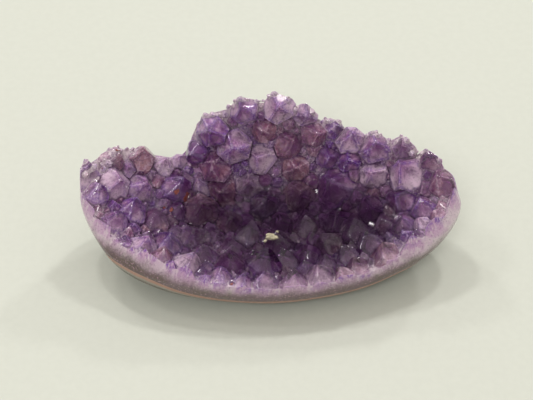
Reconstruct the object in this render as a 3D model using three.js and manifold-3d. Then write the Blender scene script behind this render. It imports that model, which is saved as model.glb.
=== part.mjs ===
// Amethyst cluster: a boat-shaped piece of a geode's wall, its edge ground and polished, standing on a
// sawn flat. Brown-grey host rock, a skin in front and thicker behind, carries a layer of pale
// quartz, and amethyst crystals grown into each other line the hollow. Millimetres, +Z up, +X to the
// right end, -Y to the low front edge. The origin is the middle of the sawn flat.
import * as THREE from "three";
import { ConvexGeometry } from "three/addons/geometries/ConvexGeometry.js";
import { mergeVertices } from "three/addons/utils/BufferGeometryUtils.js";
import Module from "manifold-3d";

const wasm = await Module();
wasm.setup();

// Driving sizes.
const LENGTH = 149;
const FRONT_DEPTH = 37; // from the origin to the front edge
const BACK_DEPTH = 35; // from the origin to the back of the high wall
const HOLLOW_FLOOR = 9; // height of the quartz layer's top at the middle of the hollow
const ROCK_FLOOR = 3; // thickness of the host rock under it
const HOLLOW_CURVE = 2.2; // power by which the walls rise from the middle to the edge
const SAWN_OFF = 2; // how far the flat is sawn above the bowl's own lowest point
const BOWL_BOTTOM = 0.3; // the round underside starts at this share of the outline
const JOINT_GAP = 0.3; // between the quartz layer and the host rock
const WIDE_GAP = 13; // degrees between rows of the edge that need a point between them
const TOP = 90; // above every crystal
const BEYOND = 1.15; // layers are made this much wider than the outline, and ground back to it
const UNDERSIDE_RINGS = [0, 0.12, 0.35, 0.65, 1]; // shares of the way up to the widest line
const LAYER_RINGS = [0.35, 0.65, 0.85, 1, BEYOND]; // shares of the way out to the outline

// The edge, by angle round the outline from the right end: how far out it is as a share of the plain
// outline, the height of its widest line, of the quartz layer's top, of the host rock's top, and how
// far the polished bevel leans in per millimetre.
const EDGE = [
  { angle: 0, reach: 1.01, widest: 29, quartz: 36, rock: 20, lean: 0.35 },
  { angle: 19, reach: 1.02, widest: 29, quartz: 39, rock: 22, lean: 0.25 },
  { angle: 34, reach: 1, widest: 28, quartz: 40, rock: 25, lean: 0.2 },
  { angle: 50, reach: 1, widest: 28, quartz: 41, rock: 28, lean: 0.12 },
  { angle: 66, reach: 1, widest: 29, quartz: 42, rock: 31, lean: 0.1 },
  { angle: 78, reach: 1, widest: 30, quartz: 51, rock: 38, lean: 0.08 },
  { angle: 92, reach: 1, widest: 31, quartz: 57, rock: 44, lean: 0.06 },
  { angle: 105, reach: 1, widest: 29, quartz: 53, rock: 40, lean: 0.06 },
  { angle: 113, reach: 1.02, widest: 26, quartz: 46, rock: 31, lean: 0.06 },
  { angle: 118, reach: 1.02, widest: 22, quartz: 28, rock: 16, lean: 0.1 },
  { angle: 127, reach: 1.02, widest: 23, quartz: 30, rock: 17, lean: 0.12 },
  { angle: 140, reach: 1.03, widest: 27, quartz: 39, rock: 24, lean: 0.1 },
  { angle: 164, reach: 1.03, widest: 31, quartz: 39, rock: 24, lean: 0.05 },
  { angle: 180, reach: 1, widest: 31, quartz: 36, rock: 20, lean: 0.15 },
  { angle: 190, reach: 0.98, widest: 28, quartz: 33, rock: 18, lean: 0.35 },
  { angle: 200, reach: 0.97, widest: 24, quartz: 30, rock: 18, lean: 0.5 },
  { angle: 213, reach: 0.98, widest: 20, quartz: 28, rock: 19, lean: 0.7 },
  { angle: 230, reach: 1.0, widest: 19, quartz: 27, rock: 18, lean: 0.7 },
  { angle: 243, reach: 0.99, widest: 18, quartz: 23, rock: 14, lean: 0.6 },
  { angle: 257, reach: 0.97, widest: 17, quartz: 20, rock: 11.5, lean: 0.2 },
  { angle: 273, reach: 0.95, widest: 16, quartz: 19, rock: 11, lean: 0.05 },
  { angle: 288, reach: 0.92, widest: 16, quartz: 19, rock: 11, lean: 0 },
  { angle: 306, reach: 0.9, widest: 16, quartz: 20, rock: 12, lean: 0 },
  { angle: 320, reach: 0.91, widest: 19, quartz: 24, rock: 14, lean: 0.2 },
  { angle: 330, reach: 0.94, widest: 22, quartz: 28, rock: 15, lean: 0.45 },
  { angle: 345, reach: 0.98, widest: 27, quartz: 34, rock: 18, lean: 0.55 },
];

// Crystals.
const TIP_SLOPE = THREE.MathUtils.degToRad(51.8); // between a crystal's axis and a tip face's normal
const ROOT = 4; // length of a crystal that stays in the quartz layer
const UPRIGHT = 0.45; // how far crystals turn from the wall's normal towards straight up
const LEAN = 0.24; // most sideways lean, as a share of the axis
const SHORTEST = 1; // heights of the rest, as shares of their radii
const TALLEST = 1.4;
const SPACING = 0.74; // least distance between two crystals, as a share of their radii together
const SIDE_NEAR = 0.84; // side faces stand from this share of the radius
const SIDE_FAR = 1.04; // to this one
const MAIN_TIP = 0.1; // most that three of the tip faces stand back, as a share of the radius
const MINOR_TIP = 0.6; // most that the three smaller tip faces between them do
const SEED = 1476;
const CORNER_GAP = 0.02; // corners closer than this are one corner
const ROUNDING = 1e-6; // how far outside a face a corner may come out
const MERGE = 1e-4; // vertices closer than this are one vertex
const PARALLEL = 1e-4; // faces whose normals' volume is under this have no corner
// The crystals along the front rim, in three stretches: cut by the grinding at its two ends and whole
// in the middle. Each is from and to an angle round the outline and a share of the way out to it.
const RIM = [
  { from: 192, to: 248, near: 0.99, far: 1.04, upright: 2, tries: 80 },
  { from: 250, to: 322, near: 0.85, far: 0.91, upright: 0.8, tries: 80 },
  { from: 324, to: 350, near: 0.99, far: 1.04, upright: 2, tries: 40 },
];
const RIM_SMALLEST = 5;
const RIM_BIGGEST = 7;
// Sizes are grown in turn, the biggest first: the radius to a side face, and the tries at a place.
const SIZES = [
  { smallest: 6.2, biggest: 7.4, tries: 1500 },
  { smallest: 5, biggest: 6, tries: 1200 },
  { smallest: 3.8, biggest: 4.8, tries: 500 },
];
// The crystals that stand out: the angle round the outline, the share of the way out to it, the
// radius, and the height as a share of the radius.
const LARGE = [
  { angle: 57, share: 0.65, radius: 10, tall: 1.0 }, // the biggest, a blunt dome at the wall's foot
  { angle: 31, share: 0.86, radius: 9, tall: 1.1 },
  { angle: 162, share: 0.86, radius: 8.5, tall: 1.1 }, // the left lobe's blunt one
  { angle: 52, share: 0.93, radius: 7.5, tall: 1.2 },
  { angle: 62, share: 0.95, radius: 7, tall: 1.2 },
  { angle: 104, share: 0.8, radius: 7, tall: 1.7 },
  { angle: 87, share: 0.96, radius: 7.5, tall: 1.2 }, // the peak of the wall
  { angle: 266, share: 0.62, radius: 7, tall: 1.7 }, // stands alone at the front
  { angle: 17, share: 0.73, radius: 7, tall: 1.1 },
  { angle: 138, share: 0.68, radius: 6.5, tall: 1.3 },
  { angle: 109, share: 0.89, radius: 6.5, tall: 1.9 }, // tall, beside the notch
  { angle: 98, share: 0.94, radius: 6, tall: 1.5 },
  { angle: 236, share: 0.79, radius: 6.5, tall: 1.3 },
  { angle: 330, share: 0.66, radius: 6.5, tall: 1.3 },
  { angle: 282, share: 0.45, radius: 6, tall: 1.4 },
  { angle: 138, share: 0.91, radius: 5.5, tall: 1.4 },
  { angle: 75, share: 0.89, radius: 6, tall: 1.3 },
  { angle: 79, share: 0.96, radius: 5.5, tall: 1.3 },
  { angle: 115, share: 0.88, radius: 5, tall: 1.7 },
  { angle: 92, share: 0.85, radius: 5.5, tall: 1.3 },
  { angle: 150, share: 0.95, radius: 5, tall: 1.5 },
  { angle: 176, share: 0.92, radius: 5.5, tall: 1.3 },
  { angle: 302, share: 0.43, radius: 5.5, tall: 1.4 },
  { angle: 252, share: 0.86, radius: 5.5, tall: 1.2 },
  { angle: 315, share: 0.65, radius: 5.5, tall: 1.3 },
  { angle: 121, share: 0.96, radius: 4, tall: 1.2 }, // in the notch
];

// The same numbers each run: a Park-Miller generator, from 0 to 1.
let state = SEED;
function random() {
  state = (state * 48271) % 2147483647;
  return state / 2147483647;
}
const between = (low, high) => low + (high - low) * random();

// A value of the edge at an angle, on a smooth curve through the rows of EDGE.
function edge(name, angle) {
  const n = EDGE.length;
  const a = ((THREE.MathUtils.radToDeg(angle) % 360) + 360) % 360;
  let i = n - 1;
  while (EDGE[i].angle > a) i -= 1;
  const row = (k) => {
    const turns = Math.floor(k / n);
    const found = EDGE[k - turns * n];
    return { angle: found.angle + 360 * turns, value: found[name] };
  };
  const [before, from, to, after] = [row(i - 1), row(i), row(i + 1), row(i + 2)];
  const span = to.angle - from.angle;
  const t = (a - from.angle) / span;
  const out = ((to.value - before.value) / (to.angle - before.angle)) * span;
  const into = ((after.value - from.value) / (after.angle - from.angle)) * span;
  return (
    from.value * (1 + 2 * t) * (1 - t) ** 2 +
    out * t * (1 - t) ** 2 +
    to.value * t * t * (3 - 2 * t) +
    into * t * t * (t - 1)
  );
}

// The outline's point at an angle, as a share of the way from the origin.
function plan(angle, share) {
  const depth = Math.sin(angle) < 0 ? FRONT_DEPTH : BACK_DEPTH;
  const reach = share * edge("reach", angle);
  return { x: (LENGTH / 2) * reach * Math.cos(angle), y: depth * reach * Math.sin(angle) };
}

// The other way: the angle and the share of the way to the outline of a place on the plan.
function polar(x, y) {
  const depth = y < 0 ? FRONT_DEPTH : BACK_DEPTH;
  const angle = Math.atan2(y / depth, x / (LENGTH / 2));
  const rim = plan(angle, 1);
  return { angle, share: Math.hypot(x, y) / Math.hypot(rim.x, rim.y) };
}

const rise = (floor, height, share) => floor + (height - floor) * share ** HOLLOW_CURVE;
const quartzTop = (angle, share) => rise(HOLLOW_FLOOR, edge("quartz", angle), share);
const rockTop = (angle, share) => rise(ROCK_FLOOR, edge("rock", angle), share);

function quartzPoint(x, y) {
  const { angle, share } = polar(x, y);
  return new THREE.Vector3(x, y, quartzTop(angle, share));
}

function quartzNormal(x, y) {
  const step = 0.5;
  const alongX = quartzPoint(x + step, y).sub(quartzPoint(x - step, y));
  const alongY = quartzPoint(x, y + step).sub(quartzPoint(x, y - step));
  return alongX.cross(alongY).normalize();
}

// How far out the ground surface is at a height, as a share of the outline.
function groundShare(angle, z) {
  const widest = edge("widest", angle);
  if (z >= widest) {
    const rim = plan(angle, 1);
    return 1 - ((z - widest) * edge("lean", angle)) / Math.hypot(rim.x, rim.y);
  }
  const up = (z + SAWN_OFF) / (widest + SAWN_OFF);
  return BOWL_BOTTOM + (1 - BOWL_BOTTOM) * Math.sqrt(1 - (1 - up) ** 2);
}

// A closed mesh as a solid that can be cut and joined.
function solid(geometry) {
  const bare = geometry.index ? geometry.toNonIndexed() : geometry.clone();
  bare.deleteAttribute("normal");
  if (bare.attributes.uv) bare.deleteAttribute("uv");
  const merged = mergeVertices(bare, MERGE);
  return new wasm.Manifold(
    new wasm.Mesh({
      numProp: 3,
      vertProperties: new Float32Array(merged.attributes.position.array),
      triVerts: new Uint32Array(merged.index.array),
    }),
  );
}

// The angles that the edge's shape needs: every row's, and one halfway across the wider gaps.
function ringAngles() {
  const angles = [];
  EDGE.forEach(({ angle }, i) => {
    const next = i + 1 < EDGE.length ? EDGE[i + 1].angle : 360;
    angles.push(angle);
    if (next - angle > WIDE_GAP) angles.push((angle + next) / 2);
  });
  return angles.map(THREE.MathUtils.degToRad);
}

// A solid of rings, from the lowest middle point up to the highest: each ring is a function of the
// angle, and its first and last points close the solid.
function ringSolid(bottom, rings, top) {
  const angles = ringAngles();
  const around = angles.length;
  const positions = [bottom, ...rings.flatMap((ring) => angles.map(ring)), top];
  const at = (r, i) => 1 + r * around + (i % around);
  const last = positions.length - 1;
  const index = [];
  for (let i = 0; i < around; i += 1) {
    index.push(0, at(0, i + 1), at(0, i));
    for (let r = 0; r + 1 < rings.length; r += 1) {
      index.push(at(r, i), at(r, i + 1), at(r + 1, i + 1));
      index.push(at(r, i), at(r + 1, i + 1), at(r + 1, i));
    }
    index.push(last, at(rings.length - 1, i), at(rings.length - 1, i + 1));
  }
  const geometry = new THREE.BufferGeometry();
  geometry.setAttribute("position", new THREE.Float32BufferAttribute(positions.flat(), 3));
  geometry.setIndex(index);
  return solid(geometry);
}

// What grinding and sawing leaves: everything outside this is gone.
function groundShape() {
  const ring = (height) => (angle) => {
    const z = height(angle);
    const { x, y } = plan(angle, groundShare(angle, z));
    return [x, y, z];
  };
  const rings = UNDERSIDE_RINGS.map((share) => ring((angle) => share * edge("widest", angle)));
  rings.push(ring(() => TOP));
  return ringSolid([0, 0, 0], rings, [0, 0, TOP]);
}

// The space between two bowl-shaped layers.
function layer(lower, upper, lowFloor, highFloor) {
  const ring = (height, share) => (angle) => {
    const { x, y } = plan(angle, share);
    return [x, y, height(angle, share)];
  };
  const rings = [
    ...LAYER_RINGS.map((share) => ring(lower, share)),
    ...LAYER_RINGS.toReversed().map((share) => ring(upper, share)),
  ];
  return ringSolid([0, 0, lowFloor], rings, [0, 0, highFloor]);
}

// A crystal's place, way up and size; its faces lie a little unevenly, as grown ones do.
function crystal(x, y, radius, tall, upright) {
  const axis = quartzNormal(x, y);
  axis.z += upright;
  axis.normalize();
  axis.x += between(-LEAN, LEAN);
  axis.y += between(-LEAN, LEAN);
  axis.normalize();
  const sides = [];
  const tips = [];
  const spin = between(0, Math.PI / 3);
  for (let k = 0; k < 6; k += 1) {
    sides.push(between(SIDE_NEAR, SIDE_FAR));
    tips.push(between(0, k % 2 ? MINOR_TIP : MAIN_TIP));
  }
  return { at: quartzPoint(x, y), axis, spin, radius, height: radius * tall, sides, tips };
}

// Every crystal: the ones that stand out, the ones along the front rim, and the rest wherever there
// is room.
function grow() {
  const grown = LARGE.map(({ angle, share, radius, tall }) => {
    const { x, y } = plan(THREE.MathUtils.degToRad(angle), share);
    return crystal(x, y, radius, tall, UPRIGHT);
  });
  const plant = (radius, angle, share, upright) => {
    const { x, y } = plan(angle, share);
    const at = quartzPoint(x, y);
    const free = grown.every((c) => c.at.distanceTo(at) > SPACING * (c.radius + radius));
    if (free) grown.push(crystal(x, y, radius, between(SHORTEST, TALLEST), upright));
  };
  for (const { from, to, near, far, upright, tries } of RIM)
    for (let n = 0; n < tries; n += 1) {
      const radius = between(RIM_SMALLEST, RIM_BIGGEST);
      const angle = THREE.MathUtils.degToRad(between(from, to));
      plant(radius, angle, between(near, far), upright);
    }
  for (const { smallest, biggest, tries } of SIZES)
    for (let n = 0; n < tries; n += 1)
      plant(between(smallest, biggest), between(0, 2 * Math.PI), Math.sqrt(random()), UPRIGHT);
  return grown;
}

// A crystal is what six side faces, six tip faces and a hidden root face shut in.
function crystalSolid({ at, axis, spin, radius, height, sides, tips }) {
  const across = new THREE.Vector3(1, 0, 0).cross(axis).normalize();
  const over = axis.clone().cross(across);
  const planes = [{ normal: axis.clone().negate(), reach: ROOT }];
  for (let k = 0; k < 6; k += 1) {
    const turn = spin + (k * Math.PI) / 3;
    const outward = across
      .clone()
      .multiplyScalar(Math.cos(turn))
      .addScaledVector(over, Math.sin(turn));
    planes.push({ normal: outward, reach: radius * sides[k] });
    const facing = outward
      .clone()
      .multiplyScalar(Math.sin(TIP_SLOPE))
      .addScaledVector(axis, Math.cos(TIP_SLOPE));
    planes.push({ normal: facing, reach: Math.cos(TIP_SLOPE) * (height + radius * tips[k]) });
  }
  return solid(new ConvexGeometry(corners(planes).map((p) => p.add(at))));
}

// The corners of the solid that planes shut in: where three of them meet and no other cuts off.
function corners(planes) {
  const found = [];
  const meet = new THREE.Matrix3();
  for (let a = 0; a < planes.length; a += 1)
    for (let b = a + 1; b < planes.length; b += 1)
      for (let c = b + 1; c < planes.length; c += 1) {
        const [p, q, r] = [planes[a], planes[b], planes[c]];
        meet.set(...p.normal.toArray(), ...q.normal.toArray(), ...r.normal.toArray());
        if (Math.abs(meet.determinant()) < PARALLEL) continue;
        const point = new THREE.Vector3(p.reach, q.reach, r.reach).applyMatrix3(meet.invert());
        const inside = planes.every(({ normal, reach }) => normal.dot(point) < reach + ROUNDING);
        const isNew = found.every((f) => f.distanceTo(point) > CORNER_GAP);
        if (inside && isNew) found.push(point);
      }
  return found;
}

function meshOf(manifold, name, material) {
  const { vertProperties, triVerts } = manifold.getMesh();
  const geometry = new THREE.BufferGeometry();
  geometry.setAttribute("position", new THREE.BufferAttribute(vertProperties, 3));
  geometry.setIndex(new THREE.BufferAttribute(triVerts, 1));
  geometry.computeVertexNormals();
  const mesh = new THREE.Mesh(geometry, material);
  mesh.name = name;
  return mesh;
}

// The body itself, without the chips and sealed pockets that cutting leaves.
function wholePiece(cut) {
  return cut.decompose().reduce((a, b) => (b.volume() > a.volume() ? b : a));
}

const ground = groundShape();
const belowQuartz = layer(
  () => -TOP,
  (angle, share) => rockTop(angle, share),
  -TOP,
  ROCK_FLOOR,
);
const quartzLayer = layer(rockTop, quartzTop, ROCK_FLOOR, HOLLOW_FLOOR);
const crystals = wholePiece(
  wasm.Manifold.union([quartzLayer, ...grow().map(crystalSolid)])
    .subtract(belowQuartz)
    .intersect(ground),
);
const rock = layer(
  () => -TOP,
  (angle, share) => rockTop(angle, share) - JOINT_GAP,
  -TOP,
  ROCK_FLOOR - JOINT_GAP,
).intersect(ground);

const amethyst = new THREE.MeshStandardMaterial({ color: 0x6d4a94, roughness: 0.12, metalness: 0 });
const stone = new THREE.MeshStandardMaterial({ color: 0x7d6f66, roughness: 0.45, metalness: 0 });

const cluster = new THREE.Group();
cluster.add(meshOf(crystals, "amethyst_crystals", amethyst));
cluster.add(meshOf(rock, "host_rock", stone));

export default cluster;
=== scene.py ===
"""Amethyst cluster: a boat-shaped piece of a geode's wall on a sawn flat, with its stage.

Clear to cloudy amethyst crystals stand on a layer of pale quartz, and that on a skin of host rock.
Sizes are in millimetres until a mesh is made, and every mesh is in metres, in the CAD's frame.
"""

import math
from itertools import combinations

import bmesh
import bpy
import numpy as np
from bpy.props import FloatProperty, FloatVectorProperty, IntProperty, PointerProperty
from mathutils import Matrix, Vector, noise


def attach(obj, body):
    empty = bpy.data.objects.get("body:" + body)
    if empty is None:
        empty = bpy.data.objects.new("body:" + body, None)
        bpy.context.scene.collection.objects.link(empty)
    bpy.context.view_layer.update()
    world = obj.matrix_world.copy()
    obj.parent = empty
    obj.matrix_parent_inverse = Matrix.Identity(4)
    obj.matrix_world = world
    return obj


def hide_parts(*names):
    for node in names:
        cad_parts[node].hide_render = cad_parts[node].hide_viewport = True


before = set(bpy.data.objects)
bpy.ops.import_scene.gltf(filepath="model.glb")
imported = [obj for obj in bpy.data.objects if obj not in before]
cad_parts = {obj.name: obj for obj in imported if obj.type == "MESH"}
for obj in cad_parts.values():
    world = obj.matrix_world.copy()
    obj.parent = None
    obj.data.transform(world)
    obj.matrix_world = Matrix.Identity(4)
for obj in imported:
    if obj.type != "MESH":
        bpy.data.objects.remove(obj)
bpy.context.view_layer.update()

bl_info = {
    "name": "Amethyst Cluster",
    "version": (1, 0, 0),
    "blender": (4, 5, 0),
    "location": "View3D > Sidebar > Cluster",
    "description": "Grows an amethyst cluster round its packed solids",
    "category": "Object",
}

MM = 0.001  # metres in a millimetre

# The cluster's shape, as the solids have it.
LENGTH = 149
FRONT_DEPTH = 37  # from the origin to the front
BACK_DEPTH = 35
HOLLOW_FLOOR = 9  # top of the quartz layer in the middle
ROCK_FLOOR = 3  # and of the rock
HOLLOW_CURVE = 2.2  # power by which the walls rise to the edge
SAWN_OFF = 2  # height of the flat over the bowl's lowest point
BOWL_BOTTOM = 0.3  # share of the outline where the bowl starts
TOP = 90  # above every crystal
BEYOND = 1.15  # share of the outline that layers reach before they are ground

# The edge, by angle from the right end: reach, widest line, quartz top, rock top, bevel's lean.
EDGE = [
    (0, 1.01, 29, 36, 20, 0.35),
    (19, 1.02, 29, 39, 22, 0.25),
    (34, 1, 28, 40, 25, 0.2),
    (50, 1, 28, 41, 28, 0.12),
    (66, 1, 29, 42, 31, 0.1),
    (78, 1, 30, 51, 38, 0.08),
    (92, 1, 31, 57, 44, 0.06),
    (105, 1, 29, 53, 40, 0.06),
    (113, 1.02, 26, 46, 31, 0.06),
    (118, 1.02, 22, 28, 16, 0.1),
    (127, 1.02, 23, 30, 17, 0.12),
    (140, 1.03, 27, 39, 24, 0.1),
    (164, 1.03, 31, 39, 24, 0.05),
    (180, 1, 31, 36, 20, 0.15),
    (190, 0.98, 28, 33, 18, 0.35),
    (200, 0.97, 24, 30, 18, 0.5),
    (213, 0.98, 20, 28, 19, 0.7),
    (230, 1, 19, 27, 18, 0.7),
    (243, 0.99, 18, 23, 14, 0.6),
    (257, 0.97, 17, 20, 11.5, 0.2),
    (273, 0.95, 16, 19, 11, 0.05),
    (288, 0.92, 16, 19, 11, 0),
    (306, 0.9, 16, 20, 12, 0),
    (320, 0.91, 19, 24, 14, 0.2),
    (330, 0.94, 22, 28, 15, 0.45),
    (345, 0.98, 27, 34, 18, 0.55),
]
REACH, WIDEST, QUARTZ, ROCK, BEVEL = range(1, 6)

# The crystals that stand out: angle, share of the way out, radius, height as a share of the radius,
# and how dark, how cloudy and how brown.
LARGE = [
    (57, 0.65, 10, 1.0, 1, 0.1, 0),
    (31, 0.86, 9, 1.1, 0.35, 0.8, 0.4),
    (162, 0.86, 8.5, 1.1, 0.1, 1, 0.3),
    (52, 0.93, 7.5, 1.2, 0.5, 0.6, 0.2),
    (62, 0.95, 7, 1.2, 0.3, 0.8, 0.5),
    (104, 0.8, 7, 1.7, 0.35, 0.7, 0.1),
    (87, 0.96, 7.5, 1.2, 0.25, 0.9, 0.3),
    (266, 0.62, 7, 1.7, 0.75, 0.4, 0.1),
    (17, 0.73, 7, 1.1, 0.9, 0.3, 0.3),
    (138, 0.68, 6.5, 1.3, 1, 0, 0.1),
    (109, 0.89, 6.5, 1.9, 0.6, 0.6, 0),
    (98, 0.94, 6, 1.5, 0.45, 0.6, 0.2),
    (236, 0.79, 6.5, 1.3, 0.05, 1, 0),
    (330, 0.66, 6.5, 1.3, 0.6, 0.5, 0.3),
    (282, 0.45, 6, 1.4, 0.7, 0.3, 0.2),
    (138, 0.91, 5.5, 1.4, 0.2, 0.8, 1),
    (75, 0.89, 6, 1.3, 0.6, 0.5, 0.8),
    (79, 0.96, 5.5, 1.3, 0.3, 0.7, 0.5),
    (115, 0.88, 5, 1.7, 0.9, 0.3, 0),
    (92, 0.85, 5.5, 1.3, 0.5, 0.6, 0.9),
    (150, 0.95, 5, 1.5, 0.3, 0.7, 0.9),
    (176, 0.92, 5.5, 1.3, 0.7, 0.5, 0.2),
    (302, 0.43, 5.5, 1.4, 0.8, 0.2, 0.3),
    (252, 0.86, 5.5, 1.2, 0.5, 0.6, 0.2),
    (315, 0.65, 5.5, 1.3, 0.7, 0.5, 0.6),
    (121, 0.96, 4, 1.2, 0.2, 0.9, 0.2),
]
# The rest, biggest first: smallest and biggest radius, tries, farthest share of the way out and
# spacing. The solids leave the fine ones out.
SPACING = 0.74  # least distance of two crystals, in the sum of their radii
SIZES = [(6.2, 7.4, 1500, 1, SPACING), (5, 6, 1200, 1, SPACING), (3.8, 4.8, 500, 1, SPACING)]
FINE_SIZES = [(2.8, 3.8, 1500, 0.93, 0.66), (1.8, 2.6, 2500, 0.93, 0.66)]
TIP_SLOPE = math.radians(51.8)  # between a crystal's axis and a tip face's normal
ROOT = 4  # length of a crystal inside the quartz layer
UPRIGHT = 0.45  # turn from the wall's normal towards straight up
LEAN = 0.24  # most random lean
SHORTEST = 1  # heights of the rest, in their radii
TALLEST = 1.4
# Crystals along the front rim, in three stretches: ground away at its ends, whole in the middle.
# From and to an angle, from and to a share of the way out, upright and tries.
RIM = [
    (192, 248, 0.99, 1.04, 2, 80),
    (250, 322, 0.85, 0.91, 0.8, 80),
    (324, 350, 0.99, 1.04, 2, 40),
]
RIM_SIZES = (5, 7)
SIDE_NEAR = 0.84  # distances of side faces, in radii
SIDE_FAR = 1.04
MAIN_TIP = 0.1  # most that three tip faces stand back, in radii
MINOR_TIP = 0.6  # and the three between them
SIXTH = math.pi / 3  # of a turn, from one side face to the next
SEED = 1476


class Draws:
    """The same numbers each run: a Park-Miller generator."""

    FACTOR = 48271
    PRIME = 2147483647

    def __init__(self, seed):
        self.state = seed

    def next(self):
        self.state = self.state * self.FACTOR % self.PRIME
        return self.state / self.PRIME

    def between(self, low, high):
        return low + (high - low) * self.next()


# ---- the cluster's surfaces


def edge(column, angle):
    """A value of the edge at an angle, on a smooth curve through the rows of EDGE."""
    n = len(EDGE)
    a = math.degrees(angle) % 360
    i = max(k for k in range(n) if EDGE[k][0] <= a)

    def row(k):
        turns, found = divmod(k, n)
        return EDGE[found][0] + 360 * turns, EDGE[found][column]

    (a0, v0), (a1, v1), (a2, v2), (a3, v3) = (row(i + k) for k in (-1, 0, 1, 2))
    span = a2 - a1
    t = (a - a1) / span
    out = (v2 - v0) / (a2 - a0) * span
    into = (v3 - v1) / (a3 - a1) * span
    start = v1 * (1 + 2 * t) * (1 - t) ** 2 + out * t * (1 - t) ** 2
    return start + v2 * t * t * (3 - 2 * t) + into * t * t * (t - 1)


def plan(angle, share):
    """The outline's point at an angle, as a share of the way from the middle."""
    depth = FRONT_DEPTH if math.sin(angle) < 0 else BACK_DEPTH
    reach = share * edge(REACH, angle)
    return LENGTH / 2 * reach * math.cos(angle), depth * reach * math.sin(angle)


def polar(x, y):
    """The angle and the share of the way out of a place on the plan."""
    depth = FRONT_DEPTH if y < 0 else BACK_DEPTH
    angle = math.atan2(y / depth, x / (LENGTH / 2))
    return angle, math.hypot(x, y) / math.hypot(*plan(angle, 1))


def rise(floor, height, share):
    return floor + (height - floor) * share**HOLLOW_CURVE


def quartz_top(angle, share):
    return rise(HOLLOW_FLOOR, edge(QUARTZ, angle), share)


def rock_top(angle, share):
    return rise(ROCK_FLOOR, edge(ROCK, angle), share)


def deep_down(angle, share):
    """A level below everything."""
    return -TOP


def quartz_point(x, y):
    return Vector((x, y, quartz_top(*polar(x, y))))


def quartz_normal(x, y):
    step = 0.5
    along_x = quartz_point(x + step, y) - quartz_point(x - step, y)
    along_y = quartz_point(x, y + step) - quartz_point(x, y - step)
    return along_x.cross(along_y).normalized()


def ground_share(angle, z):
    """How far out the ground surface is at a height, as a share of the outline."""
    widest = edge(WIDEST, angle)
    if z >= widest:
        return 1 - (z - widest) * edge(BEVEL, angle) / math.hypot(*plan(angle, 1))
    up = (z + SAWN_OFF) / (widest + SAWN_OFF)
    return BOWL_BOTTOM + (1 - BOWL_BOTTOM) * math.sqrt(1 - (1 - up) ** 2)


# ---- meshes


def new_object(name, data):
    """A mesh, light or camera as an object in the scene."""
    thing = bpy.data.objects.new(name, data)
    bpy.context.scene.collection.objects.link(thing)
    return thing


def ring_solid(name, bottom, rings, top, around):
    """A closed solid of rings, from its lowest middle point up to its highest."""
    angles = [2 * math.pi * i / around for i in range(around)]
    points = [bottom, *(ring(a) for ring in rings for a in angles), top]
    last = len(points) - 1

    def at(r, i):
        return 1 + r * around + i % around

    faces = []
    for i in range(around):
        faces.append((0, at(0, i + 1), at(0, i)))
        for r in range(len(rings) - 1):
            faces.append((at(r, i), at(r, i + 1), at(r + 1, i + 1), at(r + 1, i)))
        faces.append((last, at(len(rings) - 1, i), at(len(rings) - 1, i + 1)))
    mesh = bpy.data.meshes.new(name)
    mesh.from_pydata([Vector(p) * MM for p in points], [], faces)
    return new_object(name, mesh)


GROUND_STEPS = 26  # rings from the flat up to the widest line
GROUND_CROWDING = 1.5  # power that crowds them towards the flat
LAYER_STEPS = 24  # rings from the middle out


def ground_shape(around):
    """What grinding and sawing leaves: everything outside this is gone."""

    def ring(height):
        def point(angle):
            z = height(angle)
            return *plan(angle, ground_share(angle, z)), z

        return point

    shares = [(k / GROUND_STEPS) ** GROUND_CROWDING for k in range(GROUND_STEPS + 1)]
    rings = [ring(lambda angle, s=s: s * edge(WIDEST, angle)) for s in shares]
    rings.append(ring(lambda angle: TOP))
    return ring_solid("ground", (0, 0, 0), rings, (0, 0, TOP), around)


def layer(name, lower, upper, low_floor, high_floor, around):
    """The space between two bowl-shaped layers."""

    def ring(height, share):
        return lambda angle: (*plan(angle, share), height(angle, share))

    shares = [BEYOND * (k + 1) / LAYER_STEPS for k in range(LAYER_STEPS)]
    rings = [ring(lower, s) for s in shares] + [ring(upper, s) for s in reversed(shares)]
    return ring_solid(name, (0, 0, low_floor), rings, (0, 0, high_floor), around)


def combine(target, other, operation):
    """Joins, cuts or intersects target with other, which is then gone."""
    modifier = target.modifiers.new("combine", "BOOLEAN")
    modifier.operation = operation
    modifier.solver = "MANIFOLD"
    modifier.object = other
    graph = bpy.context.evaluated_depsgraph_get()
    result = bpy.data.meshes.new_from_object(target.evaluated_get(graph))
    target.modifiers.remove(modifier)
    spent = target.data
    target.data = result
    bpy.data.meshes.remove(spent)
    bpy.data.meshes.remove(other.data)
    if not result.polygons:
        raise RuntimeError(f"{operation} left nothing of {target.name}")


def trim(piece, below, ground):
    """Cuts a piece off at the layer under it and at the ground surface."""
    combine(piece, below, "DIFFERENCE")
    combine(piece, ground, "INTERSECT")
    keep_largest(piece)


def keep_largest(piece):
    """Leaves only the body itself, without chips and sealed pockets."""
    built = bmesh.new()
    built.from_mesh(piece.data)
    left = set(built.verts)
    bodies = []
    while left:
        body = [left.pop()]
        for vert in body:
            for e in vert.link_edges:
                other = e.other_vert(vert)
                if other in left:
                    left.remove(other)
                    body.append(other)
        bodies.append(body)
    bodies.sort(key=len)
    for body in bodies[:-1]:
        bmesh.ops.delete(built, geom=body, context="VERTS")
    built.to_mesh(piece.data)
    built.free()


# ---- crystals


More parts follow.
